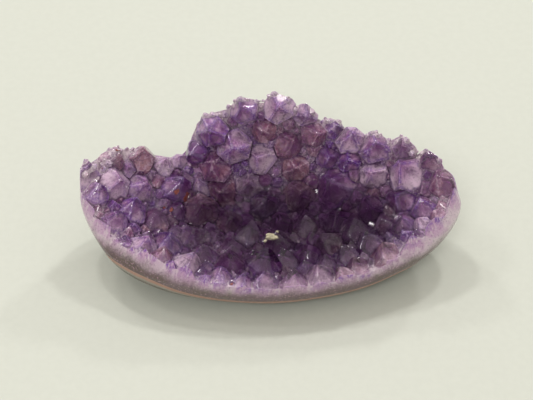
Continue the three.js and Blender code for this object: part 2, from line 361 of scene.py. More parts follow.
class Crystal:
    """A crystal's place, way up, size and faces."""

    def __init__(self, draws, x, y, radius, tall, upright):
        axis = quartz_normal(x, y)
        axis.z += upright
        axis.normalize()
        axis.x += draws.between(-LEAN, LEAN)
        axis.y += draws.between(-LEAN, LEAN)
        self.axis = axis.normalized()
        self.at = quartz_point(x, y)
        self.radius = radius
        self.height = radius * tall
        self.spin = draws.between(0, SIXTH)
        self.sides = []
        self.tips = []
        for k in range(6):
            self.sides.append(draws.between(SIDE_NEAR, SIDE_FAR))
            self.tips.append(draws.between(0, MINOR_TIP if k % 2 else MAIN_TIP))

    def planes(self):
        """Normals and distances from the place of the root, side and tip faces."""
        across = Vector((1, 0, 0)).cross(self.axis).normalized()
        over = self.axis.cross(across)
        planes = [(-self.axis, ROOT)]
        for k in range(6):
            turn = self.spin + k * SIXTH
            outward = across * math.cos(turn) + over * math.sin(turn)
            planes.append((outward, self.radius * self.sides[k]))
            facing = outward * math.sin(TIP_SLOPE) + self.axis * math.cos(TIP_SLOPE)
            reach = math.cos(TIP_SLOPE) * (self.height + self.radius * self.tips[k])
            planes.append((facing, reach))
        return planes


def grow(draws, fine):
    """Every crystal: those that stand out, those along the front rim, and the rest."""
    grown = []
    for angle, share, radius, tall, *_ in LARGE:
        x, y = plan(math.radians(angle), share)
        grown.append(Crystal(draws, x, y, radius, tall, UPRIGHT))

    def plant(radius, angle, share, upright, spacing):
        x, y = plan(angle, share)
        at = quartz_point(x, y)
        if all((c.at - at).length > spacing * (c.radius + radius) for c in grown):
            tall = draws.between(SHORTEST, TALLEST)
            grown.append(Crystal(draws, x, y, radius, tall, upright))

    for start, end, near, far, upright, tries in RIM:
        for _ in range(tries):
            radius = draws.between(*RIM_SIZES)
            angle = math.radians(draws.between(start, end))
            plant(radius, angle, draws.between(near, far), upright, SPACING)
    for smallest, biggest, tries, farthest, spacing in SIZES + (FINE_SIZES if fine else []):
        for _ in range(tries):
            radius = draws.between(smallest, biggest)
            angle = draws.between(0, 2 * math.pi)
            plant(radius, angle, farthest * math.sqrt(draws.next()), UPRIGHT, spacing)
    return grown


CORNER_GAP = 0.02  # corners closer than this are one corner
ROUNDING = 1e-6  # how far outside a face a corner may come out
PARALLEL = 1e-4  # least volume of the normals of three faces that meet
FLAT = math.radians(0.5)  # faces that bend less than this are one facet
WIDER = 1.25  # most distance of a corner from its axis, in radii
REFINE_ROUNDS = 7  # most times that an edge is halved
SAME = 0.005  # points closer than this are one point
FAR = 9.0  # stands for further than any crystal
NEAR = 3  # how far round a crystal points are measured against it


def corners(planes):
    """Where three planes meet and no other cuts off: the corners of what they shut in."""
    normals = np.array([n for n, _ in planes])
    reach = np.array([r for _, r in planes])
    n = len(planes)
    trios = np.array(list(combinations(range(n), 3)))
    systems = normals[trios]
    good = np.abs(np.linalg.det(systems)) > PARALLEL
    points = np.linalg.solve(systems[good], reach[trios[good]][:, :, None])[:, :, 0]
    inside = (points @ normals.T < reach + ROUNDING).all(axis=1)
    found = []
    for point in points[inside]:
        if all(np.linalg.norm(point - f) > CORNER_GAP for f in found):
            found.append(point)
    return found


def move_into(built, part):
    """Adds one mesh under construction to another, and frees it."""
    scratch = bpy.data.meshes.new("part")
    part.to_mesh(scratch)
    part.free()
    built.from_mesh(scratch)
    bpy.data.meshes.remove(scratch)


def add_crystal(built, crystal, worn):
    """Adds a crystal with slightly worn edges to a mesh under construction."""
    part = bmesh.new()
    for point in corners(crystal.planes()):
        part.verts.new((Vector(point) + crystal.at) * MM)
    bmesh.ops.convex_hull(part, input=part.verts)
    bmesh.ops.dissolve_limit(part, angle_limit=FLAT, verts=part.verts, edges=part.edges)
    rounded = {"segments": 2, "profile": 0.5, "affect": "EDGES", "clamp_overlap": True}
    bmesh.ops.bevel(part, geom=part.edges, offset=worn * MM, offset_type="OFFSET", **rounded)
    bmesh.ops.triangulate(part, faces=part.faces)
    move_into(built, part)


def apart(grown):
    """Sorts crystals into groups in which no two touch, and which can be joined in one step."""
    groups = []
    for crystal in grown:
        middle = crystal.at + crystal.axis * (crystal.height - ROOT) / 2
        reach = math.hypot(crystal.radius * WIDER, (crystal.height + ROOT) / 2)
        for group in groups:
            if all((middle - m).length > reach + r for m, r, _ in group):
                group.append((middle, reach, crystal))
                break
        else:
            groups.append([(middle, reach, crystal)])
    return [[crystal for _, _, crystal in group] for group in groups]


def group_object(group, wear):
    built = bmesh.new()
    for crystal in group:
        add_crystal(built, crystal, wear * crystal.radius)
    return built_object("group", built)


def joined(name, base, grown, wear):
    """The base with every crystal joined to it in one solid."""
    for group in apart(grown):
        combine(base, group_object(group, wear), "UNION")
    base.name = name
    base.data.name = name
    return base


def drop_doubles(built):
    """Removes pairs of faces that lie on each other, which splitting thin slivers leaves."""
    seen = {}
    spent = []
    for face in built.faces:
        key = frozenset(face.verts)
        if key in seen:
            spent += [face, seen.pop(key)]
        else:
            seen[key] = face
    bmesh.ops.delete(built, geom=spent, context="FACES")


def refine(piece, longest):
    """Splits long edges, so that colour and wear can vary over a facet."""
    built = bmesh.new()
    built.from_mesh(piece.data)
    bmesh.ops.remove_doubles(built, verts=built.verts, dist=SAME * MM)
    for _ in range(REFINE_ROUNDS):
        split = [e for e in built.edges if e.calc_length() > longest]
        if not split:
            break
        bmesh.ops.subdivide_edges(built, edges=split, cuts=1)
        bmesh.ops.triangulate(built, faces=[f for f in built.faces if len(f.verts) > 3])
    drop_doubles(built)
    built.to_mesh(piece.data)
    built.free()


def write_attribute(mesh, name, domain, values, kind="FLOAT", field="value"):
    attribute = mesh.attributes.new(name, kind, domain)
    attribute.data.foreach_set(field, np.asarray(values, np.float32).ravel())


def read(items, name, width=1, kind=np.int32):
    values = np.zeros(len(items) * width, kind)
    items.foreach_get(name, values)
    return values


def read_places(items, name):
    return read(items, name, 3, np.float32).reshape(-1, 3) / MM


def survey(points, grown):
    """The crystal each point is on, and how far the next one and its own edges are."""
    first = np.full(len(points), FAR)
    second = np.full(len(points), FAR)
    ridge = np.full(len(points), FAR)
    owner = np.zeros(len(points), int)
    for number, crystal in enumerate(grown):
        away = points - np.array(crystal.at)
        near = np.flatnonzero(np.linalg.norm(away, axis=1) < crystal.radius + crystal.height + NEAR)
        normals = np.array([n for n, _ in crystal.planes()])
        reach = np.array([r for _, r in crystal.planes()])
        outside = np.sort(away[near] @ normals.T - reach, axis=1)
        gap = outside[:, -1]
        best = gap < first[near]
        second[near] = np.where(best, first[near], np.minimum(second[near], gap))
        first[near] = np.where(best, gap, first[near])
        ridge[near] = np.where(best, gap - outside[:, -2], ridge[near])
        owner[near[best]] = number
    return owner, second - first, ridge


# Painted shade in the middle of the hollow: its place, how far it reaches each way, and how far to
# the front.
SHADE = (7, 2, 20)
SHADE_REACH = (74, 25, 20)
SHADE_FRONT = 47
DARK, BRIGHT = 0.35, 1.0  # shares of that reach where it starts and ends to fade


def painted_light_level(places):
    """The painted light level: how far points are out of the painted shade in the middle of the
    hollow, 0 in it and 1 well up the walls.
    """
    away = (places - np.array(SHADE)) / np.array(SHADE_REACH)
    away[:, 1] = np.where(away[:, 1] < 0, away[:, 1] * SHADE_REACH[1] / SHADE_FRONT, away[:, 1])
    return (np.linalg.norm(away, axis=1) - DARK) / (BRIGHT - DARK)


# The druse of tiny crystals on the ridge: smallest and biggest radius, and tries; from and to a
# share of the way out; the stretches it grows on; and how it stands.
DRUSE_SIZES = (0.6, 1.7, 160)
DRUSE_SHARES = (0.9, 1.0)
DRUSE_ANGLES = [(66, 100), (22, 58), (100, 112), (136, 172)]
DRUSE_TALL = 1.1
DRUSE_TILT = 0.5
DRUSE_SPACING = 0.8
STEEPEST = 0.15  # least upward share of the normal of a surface that it stands on


def landing(piece, x, y):
    """Where a thing let fall on a piece comes to rest, and the way that surface faces."""
    down = Vector((0, 0, -1))
    graph = bpy.context.evaluated_depsgraph_get()
    hit, place, normal, _ = piece.ray_cast(Vector((x, y, TOP)) * MM, down, depsgraph=graph)
    if not hit:
        raise ValueError(f"nothing of {piece.name} under {x}, {y}")
    return place / MM, normal


def grow_druse(draws, piece):
    """Tiny crystals scattered over the ridge, standing on the big ones."""
    smallest, biggest, tries = DRUSE_SIZES
    found = []
    for number in range(tries):
        start, end = DRUSE_ANGLES[number % len(DRUSE_ANGLES)]
        angle = math.radians(draws.between(start, end))
        x, y = plan(angle, draws.between(*DRUSE_SHARES))
        crystal = Crystal(draws, x, y, draws.between(smallest, biggest), DRUSE_TALL, 0)
        crystal.at, facing = landing(piece, x, y)
        crystal.axis = (facing + crystal.axis * DRUSE_TILT).normalized()
        gaps = [(c.at - crystal.at).length / (c.radius + crystal.radius) for c in found]
        if facing.z > STEEPEST and all(gap > DRUSE_SPACING for gap in gaps):
            found.append(crystal)
    return found


# Iron stain on and in the crystals: x, y, radius and depth under the surface.
FLAKES = [
    (-33.7, 13.5, 3.4, 0),
    (-37.5, 12, 1.5, 0),
    (-39.6, 6.5, 1.3, 0),
    (-42.5, 7.5, 0.8, 0),
    (-32.5, -17, 1.1, 0.1),
    (-14.7, -33, 0.9, 0.1),
    (-1.6, 29, 1.4, 0.3),
    (-50, 18, 1.2, 0.3),
    (-60, 17, 1.3, 0.3),
    (-66, 12, 1.0, 0.3),
    (54, 4, 0.9, 0.3),
    (60, -2, 0.7, 0.3),
]
FLAKE_THICK = 0.3
FLAKE_POINTS = 16
FLAKE_RAGGED = 0.55  # least reach of its ragged edge, as a share of the radius
FLAKE_NARROW = 0.7  # width as a share of the length
# Grains of calcite left in the hollow: x, y and radius.
CRUMBS = [(0.2, -5, 1.9), (2.2, -5.6, 1), (-1.7, -4, 0.7), (2.8, -3.2, 0.5)]
CRUMB_UP = 0.3  # how high a grain's middle sits, as a share of its radius
CRUMB_LENGTH = 1.2
CRUMB_WIDTH = (0.7, 1)
CRUMB_HEIGHT = (0.5, 0.8)
CRUMB_LUMPS = [(1.3, 0.5), (3, 0.25)]  # fineness and depth of its unevenness
NOISE_SPREAD = 50  # how far apart two grains' patches of noise may be


def add_flake(built, at, facing, radius, draws):
    """A thin ragged plate lying along the surface that it is on."""
    across = facing.orthogonal().normalized()
    over = facing.cross(across)
    rim = []
    for k in range(FLAKE_POINTS):
        turn = 2 * math.pi * k / FLAKE_POINTS
        reach = radius * draws.between(FLAKE_RAGGED, 1)
        rim.append(at + reach * (across * math.cos(turn) + over * FLAKE_NARROW * math.sin(turn)))
    half = facing * FLAKE_THICK / 2
    low = [built.verts.new((p - half) * MM) for p in rim]
    high = [built.verts.new((p + half) * MM) for p in rim]
    built.faces.new(high)
    built.faces.new(list(reversed(low)))
    for k in range(FLAKE_POINTS):
        built.faces.new((low[k - 1], low[k], high[k], high[k - 1]))


def add_crumb(built, at, radius, draws):
    """An irregular grain."""
    part = bmesh.new()
    bmesh.ops.create_icosphere(part, subdivisions=3, radius=1)
    start = Vector((draws.next(), draws.next(), draws.next())) * NOISE_SPREAD
    squash = Vector((CRUMB_LENGTH, draws.between(*CRUMB_WIDTH), draws.between(*CRUMB_HEIGHT)))
    for vert in part.verts:
        lumps = [deep * noise.noise(vert.co * fine + start) for fine, deep in CRUMB_LUMPS]
        vert.co = (vert.co * squash * (1 + sum(lumps)) * radius + at) * MM
    move_into(built, part)


def dress(piece, angle, material):
    """Shades what bends less than an angle as round, and gives a piece its material."""
    piece.data.shade_smooth()
    piece.data.set_sharp_from_angle(angle=math.radians(angle))
    piece.data.materials.clear()
    piece.data.materials.append(material)


def built_object(name, built):
    """A mesh under construction, finished as an object."""
    mesh = bpy.data.meshes.new(name)
    built.to_mesh(mesh)
    built.free()
    return new_object(name, mesh)


STREAKS = 2.2  # how quickly the streaks change round a crystal
STREAK_DRIFT = 0.7  # and along it
STREAK_HEART = 1.5  # they are wider within this distance of its axis
STREAK_APART = 5.3  # sets each crystal's streaks apart from the next one's
FROST_FROM = 0.86  # the ridge is frosted from this share of the way out
FROST_BEHIND = 10  # and only further back than this
VALLEY_LEAST = 0.3  # share that is left of a valley on the quartz layer


def mark_crystals(piece, grown, main):
    """Writes what the finish needs: each facet's crystal, growth, edges and neighbours."""
    mesh = piece.data
    owner = survey(read_places(mesh.polygons, "center"), grown)[0]
    draws = Draws(SEED)
    looks = np.array([[draws.next() for _ in range(3)] for _ in grown])
    looks[: len(LARGE)] = [(dark, cloudy, brown) for *_, dark, cloudy, brown in LARGE]
    looks = looks[owner]
    places = read_places(mesh.vertices, "co")
    _, valley, ridge = survey(places, grown)
    rows = []
    for x, y, z in places:
        spot = polar(x, y)
        rim = spot[1] - ground_share(spot[0], max(z, 0))
        rows.append((spot[1], z - rock_top(*spot), z - quartz_top(*spot), rim))
    share, over_rock, over_quartz, rim = np.array(rows).T
    mine = np.repeat(owner, read(mesh.polygons, "loop_total"))
    at = np.array([c.at for c in grown])[mine]
    axis = np.array([c.axis for c in grown])[mine]
    height = np.array([c.height for c in grown])[mine]
    away = places[read(mesh.loops, "vertex_index")] - at
    along = (away * axis).sum(axis=1)
    growth = along / height
    out = away - along[:, None] * axis
    out /= (np.linalg.norm(out, axis=1) + STREAK_HEART)[:, None]
    drift = growth[:, None] * axis * STREAK_DRIFT
    streak = out * STREAKS + drift + mine[:, None] * STREAK_APART
    write_attribute(mesh, "streak", "CORNER", streak, "FLOAT_VECTOR", "vector")
    write_attribute(mesh, "growth", "CORNER", growth)
    write_attribute(mesh, "druse", "FACE", owner >= main)
    for name, values in zip(("tint", "clouding", "warmth"), looks.T):
        write_attribute(mesh, name, "FACE", values)
    marks = {
        "valley": np.minimum(valley, np.maximum(over_quartz, VALLEY_LEAST * valley)),
        "ridge": ridge,
        "share": share,
        "band": over_rock,
        "ground": rim * LENGTH / 2,
        # high is the painted light level: low where shade is painted in the hollow's middle
        "high": painted_light_level(places),
        "frosty": (share - FROST_FROM) / (1 - FROST_FROM) * (places[:, 1] > FROST_BEHIND),
    }
    for name, values in marks.items():
        write_attribute(mesh, name, "POINT", values)


# ---- shaders


class Value:
    """A node's output, so that shader maths is written as Python expressions."""

    def __init__(self, shader, socket):
        self.shader = shader
        self.socket = socket

    def _maths(self, operation, first, second):
        return self.shader.add("Math", {"operation": operation}, {0: first, 1: second})

    def __add__(self, other):
        return self._maths("ADD", self, other)

    def __radd__(self, other):
        return self._maths("ADD", other, self)

    def __sub__(self, other):
        return self._maths("SUBTRACT", self, other)

    def __rsub__(self, other):
        return self._maths("SUBTRACT", other, self)

    def __mul__(self, other):
        return self._maths("MULTIPLY", self, other)

    def __rmul__(self, other):
        return self._maths("MULTIPLY", other, self)


class Shader:
    """The nodes of a material or a world."""

    def __init__(self, owner):
        owner.use_nodes = True
        self.owner = owner
        self.tree = owner.node_tree
        self.tree.nodes.clear()

    def add(self, kind, settings, inputs, output=0):
        """Adds a node: its settings first, then the values or links of its sockets."""
        node = self.tree.nodes.new("ShaderNode" + kind)
        for name, value in settings.items():
            setattr(node, name, value)
        for key, value in inputs.items():
            if isinstance(value, Value):
                self.tree.links.new(value.socket, node.inputs[key])
            else:
                node.inputs[key].default_value = value
        return Value(self, node.outputs[output]) if node.outputs else None

    def attribute(self, name, output="Fac"):
        return self.add("Attribute", {"attribute_name": name}, {}, output)

    def noise(self, size, detail):
        """Soft noise with features of about a size, in millimetres, from 0 to 1."""
        place = self.add("TexCoord", {}, {}, "Object")
        place = self.add("VectorMath", {"operation": "SCALE"}, {0: place, "Scale": 1 / MM})
        return self.add("TexNoise", {}, {"Vector": place, "Scale": 1 / size, "Detail": detail})

    def streaks(self, scale):
        """Noise drawn out along each crystal's growth."""
        where = self.attribute("streak", "Vector")
        return self.add("TexNoise", {}, {"Vector": where, "Scale": scale, "Detail": 3})

    def ease(self, value, low, high, start=0, end=1):
        """A smooth step of a value from start to end as it goes from low to high."""
        kind = {"interpolation_type": "SMOOTHSTEP"}
        stops = {1: low, 2: high, 3: start, 4: end}
        return self.add("MapRange", kind, {0: value, **stops})

    def mix(self, factor, low, high):
        """Two colours mixed, each a setting or a node's output."""
        low, high = (c if isinstance(c, Value) else rgba(c) for c in (low, high))
        return self.add("Mix", {"data_type": "RGBA"}, {0: factor, 6: low, 7: high}, 2)

    def coats(self, colour, *coats):
        """A colour with others laid over it in turn, each as far as its factor says."""
        for factor, coat in coats:
            colour = self.mix(factor, colour, coat)
        return colour

    def bump(self, height, distance, strength):
        inputs = {"Height": height, "Distance": distance * MM, "Strength": strength}
        return self.add("Bump", {}, inputs)

    def surface(self, shader, **volume):
        self.add("OutputMaterial", {}, {"Surface": shader, **volume})
        return self.owner

    def plain(self, inputs):
        """A surface of one shader."""
        return self.surface(self.add("BsdfPrincipled", {}, inputs))


def rgba(colour):
    return (*colour, 1)


HOLLOW_PAINTED_SHADE = 0.88  # how far the crystals in the hollow go to its painted shade colour


def amethyst_material(look):
    shader = Shader(bpy.data.materials.new("amethyst"))
    names = ("growth", "tint", "clouding", "warmth", "valley", "ridge", "share", "band")
    growth, tint, clouding, warmth, valley, ridge, share, band = map(shader.attribute, names)
    ground, high, druse, frosty = map(shader.attribute, ("ground", "high", "druse", "frosty"))
    ease = shader.ease
    veil = shader.noise(5, 4)
    wobble = veil - 0.5
    fine = shader.noise(0.7, 3)
    streak = shader.streaks(1)
    wisps = shader.streaks(3)
    cloud = shader.noise(2.2, 5)
    cut = ease(ground, -0.4, -0.1)
    # light is the painted light level, from the painted shade in the hollow's middle up to the
    # walls
    light = ease(high + 0.3 * wobble, 0, 1)
    rim = ease(share + 0.2 * wobble, 0.82, 0.98)
    frost = druse + ease(frosty + 0.5 * wobble, 0.3, 0.9) * ease(fine, 0.5, 0.6)

    # The clean facets, from the crystals' bases to their tips.
    turn = growth + 0.4 * wobble + 0.8 * (tint - 0.5)
    edge_zone = (1 - ease(ridge, 0.3, 1.6)) * ease(cloud + 0.3 * tint, 0.45, 0.7)
    stain = ease(warmth + 0.3 * wobble, 0.5, 0.9)
    # Painted shade in the creases between crystals, darkest deep in the valleys
    gap = 1 - ease(valley + 1.2 * (cloud - 0.5), 0.1, 1.2)
    outline = (1 - ease(valley, 0.05, 0.35)) * rim
    # Pale worn edges: partly real wear, partly painted sheen, since they show only where the
    # painted light level is high
    worn = (1 - ease(ridge, 0.1, 0.35)) * ease(fine, 0.35, 0.6) * light
    zone = shader.coats(
        look.pale,
        (ease(turn, 0.1, 0.8), look.lilac),
        (ease(turn, 0.8, 1.4), look.deep),
        (edge_zone * 0.9, look.violet),
        (stain * 0.75, look.brown),
        (ease(streak, 0.52, 0.7) * 0.3, look.pale),
        (ease(streak, 0.5, 0.3) * 0.4, look.deep),
        (ease(cloud, 0.53, 0.63) * 0.4, look.pale),
        (ease(cloud, 0.46, 0.36) * 0.5, look.deep),
        # painted crease shade
        (gap * 0.75, look.deep),
        # painted shade in the hollow's middle
        ((1 - light) * HOLLOW_PAINTED_SHADE, look.hollow),
        (rim * 0.3, look.pale),
        (outline * 0.7, look.outline),
        # worn edges, partly painted sheen
        (worn * 0.25, look.outline),
        (frost * 0.35, look.outline),
    )

    # The quartz where it is ground, from the rock up.
    up = growth + 0.9 * wobble + 0.6 * (tint - 0.5)
    upper = ease(band + 4 * wobble, 3, 9)
    # Darker, greyer quartz next to the rock: partly its own tone, partly painted shade on the
    # band's lower part, which faces down and forward
    clear_of_low_shade = ease(band + 5 * wobble, 2.5, 11)
    vein = ease(up, -0.4, 0.7) * ease(cloud, 0.4, 0.55)
    speck = ease(fine, 0.6, 0.68) * (1 - ease(band, 1, 9))
    skin = shader.coats(
        look.low_tone_and_shade,
        (clear_of_low_shade, look.skin),
        (ease(up, -1.4, 0) * (0.15 + 0.55 * clear_of_low_shade), look.lilac),
        (vein * 0.8, look.violet),
        (ease(wisps, 0.5, 0.68) * upper * 0.6, look.outline),
        ((1 - ease(valley, 0.1, 0.5)) * upper * 0.5, look.outline),
        (speck * 0.7, look.brown),
    )
    colour = shader.coats(
        zone,
        (cut, skin),
        (ease(fine, 0.57, 0.66) * 0.3, look.pale),
        (ease(fine, 0.43, 0.34) * 0.35, look.deep),
    )

    # Clear quartz mixed with cloudy.
    texture = shader.bump(shader.noise(1.8, 3) + 0.15 * fine + frost * fine, 0.2, 0.35)
    rough = ease(fine, 0.35, 0.7, 0.02, 0.09)
    shape = {"Roughness": rough, "IOR": look.ior, "Normal": texture}
    clear = {"Base Color": rgba(look.clear), "Transmission Weight": 1, **shape}
    cloudy = {
        "Base Color": colour,
        "Subsurface Weight": 0.08,
        "Subsurface Radius": (1, 0.6, 1),
        "Subsurface Scale": 1.5 * MM,
        **shape,
    }
    milk = ease(veil + 0.4 * (clouding - 0.5), 0.3, 0.7, look.least_cloud, look.most_cloud)
    milk = milk + 0.3 * (1 - ease(growth, 0, 0.5)) + 0.4 * outline + 0.2 * worn
    # Cloudier where the painted light level is high, and in the painted crease shade
    milk = milk + 0.2 * ease(streak, 0.5, 0.7) + 0.25 * light + 0.3 * frost + 0.2 * gap
    milk = ease(milk + 0.7 * cut, 0, 1, 0, 0.95)
    inputs = {
        0: milk,
        1: shader.add("BsdfPrincipled", {}, clear),
        2: shader.add("BsdfPrincipled", {}, cloudy),
    }
    surface = shader.add("MixShader", {}, inputs)
    absorbed = {"Color": rgba(look.absorbed), "Density": look.density}
    return shader.surface(surface, Volume=shader.add("VolumeAbsorption", {}, absorbed))


def milky_material(look):
    shader = Shader(bpy.data.materials.new("milky_quartz"))
    growth, high, tint = map(shader.attribute, ("growth", "high", "tint"))
    veil = shader.noise(4, 4)
    # light is the painted light level, low where shade is painted in the hollow's middle
    light = shader.ease(high + 0.3 * (veil - 0.5), 0, 1)
    turn = growth + 0.6 * (veil - 0.5) + 0.4 * (tint - 0.5)
    colour = shader.coats(
        look.milk,
        (shader.ease(turn, 0, 0.9), look.heart),
        (shader.ease(shader.streaks(1.5), 0.47, 0.6) * 0.8, look.heart),
        (shader.ease(shader.noise(1.5, 5), 0.52, 0.62) * 0.7, look.heart),
        # painted shade in the hollow's middle
        ((1 - light) * HOLLOW_PAINTED_SHADE, look.hollow),
    )
    return shader.plain({"Base Color": colour, "Roughness": 0.6})


def rock_material(look):
    shader = Shader(bpy.data.materials.new("host_rock"))
    grain = shader.noise(0.8, 4)
    patch = shader.noise(6, 3)
    deep = shader.attribute("depth") + 1.2 * (patch - 0.5)
    colour = shader.mix(shader.ease(patch, 0.35, 0.65), look.rock, look.rock_dark)
    colour = shader.mix(shader.ease(grain, 0.4, 0.7) * 0.5, colour, look.rock_pale)
    colour = shader.mix(shader.ease(deep, 2.8, 3.8), look.rock_pale, colour)
    colour = shader.mix(shader.ease(deep, 1.6, 2.4), look.rock_line, colour)
    rough = shader.ease(grain, 0.3, 0.7, 0.35, 0.75)
    bump = shader.bump(grain, 0.25, 0.6)
    return shader.plain({"Base Color": colour, "Roughness": rough, "Normal": bump})


# Plain materials: the grain's size and detail, how soft and how strong its colour is, roughness,
# and the bump's depth and strength.
GRAINED = {
    "iron_stain": (0.5, 3, 0.15, 1, 0.45, 0.1, 0.5),
    "calcite": (0.4, 3, 0.2, 1, 0.6, 0.2, 0.7),
    "floor": (3, 4, 0.2, 0.25, 0.8, 0.1, 0.3),
}


def grained_material(name, main, other):
    """A material that goes from its main colour to another with its grain."""
    size, detail, soft, strong, rough, depth, strength = GRAINED[name]
    shader = Shader(bpy.data.materials.new(name))
    grain = shader.noise(size, detail)
    colour = shader.mix(shader.ease(grain, 0.5 - soft, 0.5 + soft, 0, strong), main, other)
    bump = shader.bump(grain, depth, strength)
    return shader.plain({"Base Color": colour, "Roughness": rough, "Normal": bump})


HORIZON = 0.1  # how far up the fill starts to grow
FILL_BELOW = 0.5  # and from what share of itself to what
FILL_ABOVE = 1.25


def studio_world(look):
    """Even light from all round, stronger from above."""
    shader = Shader(bpy.data.worlds.new("studio"))
    way = shader.add("TexCoord", {}, {}, "Generated")
    climb = shader.add("SeparateXYZ", {}, {"Vector": way}, "Z")
    ends = {"To Min": look.fill * FILL_BELOW, "To Max": look.fill * FILL_ABOVE}
    strength = shader.add("MapRange", {}, {"Value": climb, "From Min": HORIZON, **ends})
    sky = shader.add("Background", {}, {"Color": rgba(look.sky), "Strength": strength})
    shader.add("OutputWorld", {}, {"Surface": sky})
    return shader.owner


# ---- what a user would change


def paint(name, description, default):
    """A colour to choose."""
    said = {"name": name, "description": description, "default": default}
    return FloatVectorProperty(**said, subtype="COLOR", size=3, min=0, max=1)


def number(name, description, default, **rest):
    """A number to choose."""
    return FloatProperty(name=name, description=description, default=default, **rest)


def length(name, description, default, least=0):
    """A length to choose, in metres."""
    return number(name, description, default, min=least, unit="LENGTH")


def share(name, description, default, low=0, high=1):
    """A number to choose from 0 to 1, or a part of that."""
    return number(name, description, default, min=low, max=high, subtype="FACTOR")


class CrystalSettings(bpy.types.PropertyGroup):
    """Sizes and colours of the amethyst."""

    wear: share(
        "Wear", "How far edges are worn, as a share of a crystal's radius", 0.08, 0.01, 0.15
    )
    around: IntProperty(
        name="Smoothness",
        description="Points round the ground surfaces",
        min=60,
        max=360,
        default=200,
    )
    finest: length("Finest", "Longest edge left on the crystals' mesh", 0.002, 0.0008)
    ior: number("IOR", "Bending of light in quartz", 1.544)
    density: number("Absorption", "How much light the amethyst takes up", 190, min=0)
    least_cloud: share("Least cloud", "Milkiness of the clearest parts", 0.05)
    most_cloud: share("Most cloud", "Milkiness of the cloudiest parts", 0.4)
    absorbed: paint("Body colour", "What light keeps inside the crystals", (0.72, 0.3, 0.78))
    clear: paint("Clear", "Tint of light through a facet", (0.95, 0.9, 1.0))
    pale: paint("Pale", "Colour at the crystals' bases", (0.76, 0.56, 0.72))
    lilac: paint("Lilac", "Colour of the crystals' middles", (0.47, 0.22, 0.46))
    deep: paint("Deep", "Colour of the tips", (0.07, 0.02, 0.10))
    violet: paint("Violet", "Colour along a crystal's edges", (0.15, 0.035, 0.36))
    brown: paint("Iron", "Colour of iron-stained crystals", (0.32, 0.115, 0.13))
    # Painted shade: the colour that crystals and milky quartz take where shade is painted in the
    # hollow's middle
    hollow: paint("Hollow", "Colour of the crystals in the hollow", (0.014, 0.005, 0.018))
    skin: paint("Cut", "Colour of the quartz where it is cut", (0.66, 0.53, 0.62))
    outline: paint("Outline", "Colour between neighbouring crystals", (0.72, 0.62, 0.66))
    # Partly the quartz's own tone next to the rock, partly painted shade on the band's lower part
    low_tone_and_shade: paint("Lower quartz", "Colour of the quartz next to the rock", (0.15, 0.115, 0.105))
    milk: paint("Milk", "Colour of the cloudy quartz inside", (0.92, 0.76, 0.88))
    heart: paint("Heart", "Colour of the crystals' cloudy hearts", (0.40, 0.2, 0.40))


class RockSettings(bpy.types.PropertyGroup):
    """Colours of the host rock."""

    gap: length("Joint", "Space to the quartz", 0.00005, 0.00002)
    rock: paint("Rock", "Main colour", (0.16, 0.14, 0.12))
    rock_dark: paint("Dark", "Colour of darker patches", (0.07, 0.075, 0.065))
    rock_pale: paint("Grains", "Colour of pale grains", (0.33, 0.31, 0.27))
    rock_line: paint("Line", "Colour of the line under the quartz", (0.42, 0.25, 0.2))
    iron: paint("Iron stain", "Main colour of the iron stain", (0.30, 0.085, 0.06))
    iron_dark: paint("Dark stain", "Colour of darker iron stain", (0.13, 0.02, 0.03))
    calcite: paint("Calcite", "Main colour of the loose grains", (0.66, 0.62, 0.46))
    calcite_dark: paint("Calcite shade", "Colour of their darker parts", (0.4, 0.34, 0.22))


class StageSettings(bpy.types.PropertyGroup):
    """Floor, light and camera."""

    distance: length("Distance", "From the camera to the cluster", 0.6)
    elevation: number(
        "Elevation", "How steeply the camera looks down", math.radians(45), subtype="ANGLE"
    )
    lens: number("Lens", "Focal length", 102, subtype="DISTANCE_CAMERA")
    floor: paint("Floor", "Main colour of the floor", (0.595, 0.612, 0.557))
    floor_grain: paint("Grain", "Colour of the floor's grain", (0.54, 0.556, 0.504))
    sky: paint("Fill", "Colour of the light from all round", (1.0, 0.96, 0.88))
    fill: number("Fill strength", "Light from all round", 0.66, min=0)


class Step:
    """What the operators share."""

    bl_options = {"REGISTER", "UNDO"}


# Edges that bend less than this many degrees are shaded as round ones.
FACET_ANGLE = 24
SOFT_ANGLE = 30
FLAKE_ANGLE = 20
GRAIN_ANGLE = 40
# The milky quartz: its hearts as shares of the crystals' sizes, and how far it keeps inside them.
MILK_RADIUS = 0.62
MILK_HEIGHT = 0.55
MILK_SUNK = 1.2
MILK_RAISED = 0.4
MILK_THINNEST = 0.5
MILK_INSET = 1.5
MILK_WEAR = 0.2
MILK_AROUND = 90


class CLUSTER_OT_crystals(Step, bpy.types.Operator):
    """Grow the amethyst crystals on their layer of quartz"""

    bl_idname = "cluster.crystals"
    bl_label = "Amethyst crystals"

    def execute(self, context):
        look = context.scene.cluster_crystals
        around = look.around
        grown = grow(Draws(SEED), True)
        piece = layer("amethyst", rock_top, quartz_top, ROCK_FLOOR, HOLLOW_FLOOR, around)
        piece = joined("amethyst_cluster", piece, grown, look.wear)
        druse = grow_druse(Draws(SEED), piece)
        piece = joined("amethyst_cluster", piece, druse, look.wear)
        below = layer("below", deep_down, rock_top, -TOP, ROCK_FLOOR, around)
        trim(piece, below, ground_shape(around))
        refine(piece, look.finest)
        mark_crystals(piece, grown + druse, len(grown))
        dress(piece, FACET_ANGLE, amethyst_material(look))
        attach(piece, "root")
        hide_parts("amethyst_crystals")
        return {"FINISHED"}


